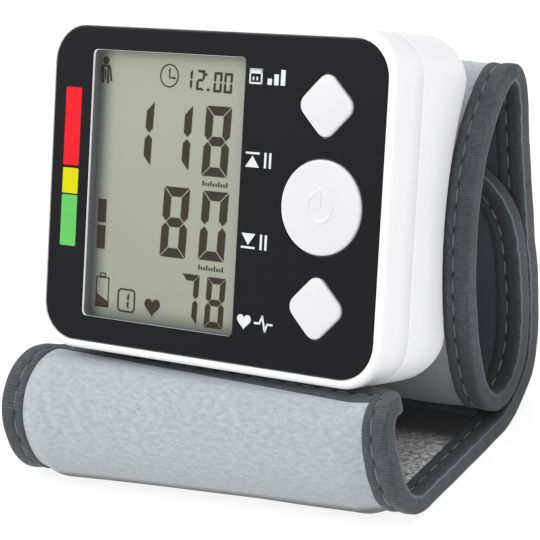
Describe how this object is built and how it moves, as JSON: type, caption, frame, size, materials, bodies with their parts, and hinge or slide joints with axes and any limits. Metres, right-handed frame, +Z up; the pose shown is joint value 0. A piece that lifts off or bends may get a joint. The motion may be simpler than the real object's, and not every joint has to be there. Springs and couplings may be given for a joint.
{
  "type": "wrist blood pressure monitor",
  "caption": "Slim wrist blood pressure monitor with a large display and press buttons, on a wrapped fabric cuff with taped edges that it stands on.",
  "frame": {"origin": "on the surface that the cuff's tail lies on, under the middle of the whole object", "axes": "+X to the reader's right across the display, +Y to the back through the wrist loop, +Z up"},
  "size_m": [0.0946, 0.0692, 0.0883],
  "materials": {
    "white_plastic": "satin moulded, very fine grain",
    "black_panel": "printed black, satin",
    "display_glass": "greenish grey liquid crystal display",
    "grey_plastic": "matt moulded",
    "circuit_board": "solder mask",
    "bright_metal": "nickel plated",
    "black_plastic": "matt moulded",
    "cell_wrap": "printed sleeve",
    "soft_rubber": "translucent silicone",
    "velour": "brushed loop velour",
    "woven_lining": "plain woven nylon",
    "edge_tape": "ribbed grosgrain binding tape",
    "hook_fabric": "brushed hook patch"
  },
  "bodies": {
    "tail": {"tail_core": "grey_plastic", "tail_velour": "velour", "tail_left_binding": "edge_tape", "tail_right_binding": "edge_tape", "tail_end_binding": "edge_tape", "hook_patch": "hook_fabric"},
    "monitor": {"front_case": "white_plastic", "rear_case": "white_plastic", "face_panel": "black_panel", "display_glass": "display_glass", "display_holder": "grey_plastic", "battery_tray": "grey_plastic", "air_manifold": "grey_plastic", "cuff_shell": "grey_plastic", "main_board": "circuit_board", "memory_switch": "bright_metal", "start_switch": "bright_metal", "set_switch": "bright_metal", "upper_contact": "bright_metal", "lower_contact": "bright_metal", "pump_motor": "bright_metal", "exhaust_valve": "bright_metal", "case_screw_1": "bright_metal", "case_screw_2": "bright_metal", "case_screw_3": "bright_metal", "case_screw_4": "bright_metal", "pump_head": "black_plastic", "pressure_sensor": "black_plastic", "upper_cell": "cell_wrap", "lower_cell": "cell_wrap", "air_tube": "soft_rubber", "air_bladder": "soft_rubber", "cuff_velour": "velour", "cuff_lining": "woven_lining", "left_binding": "edge_tape", "right_binding": "edge_tape", "end_binding": "edge_tape"},
    "memory_button": {"memory_button": "white_plastic"},
    "start_button": {"start_button": "white_plastic"},
    "set_button": {"set_button": "white_plastic"},
    "battery_cover": {"battery_cover": "white_plastic", "cover_contact": "bright_metal"}
  },
  "joints": [
    {"name": "cuff_opening", "type": "hinge", "parent": "tail", "child": "monitor", "pos_m": [-0.00117, 0.01188, 0.00388], "axis": [-0.999, 0, 0.0454], "range_deg": [0, 45]},
    {"name": "memory_button_press", "type": "slide", "parent": "monitor", "child": "memory_button", "axis": [-0.0175, 0.9225, -0.3855], "range_m": [0, 0.0007], "stiffness_N_per_m": 400},
    {"name": "start_button_press", "type": "slide", "parent": "monitor", "child": "start_button", "axis": [-0.0175, 0.9225, -0.3855], "range_m": [0, 0.0007], "stiffness_N_per_m": 400},
    {"name": "set_button_press", "type": "slide", "parent": "monitor", "child": "set_button", "axis": [-0.0175, 0.9225, -0.3855], "range_m": [0, 0.0007], "stiffness_N_per_m": 400},
    {"name": "battery_cover_slide", "type": "slide", "parent": "monitor", "child": "battery_cover", "axis": [-0.999, 0, 0.0454], "range_m": [0, 0.012]}
  ]
}
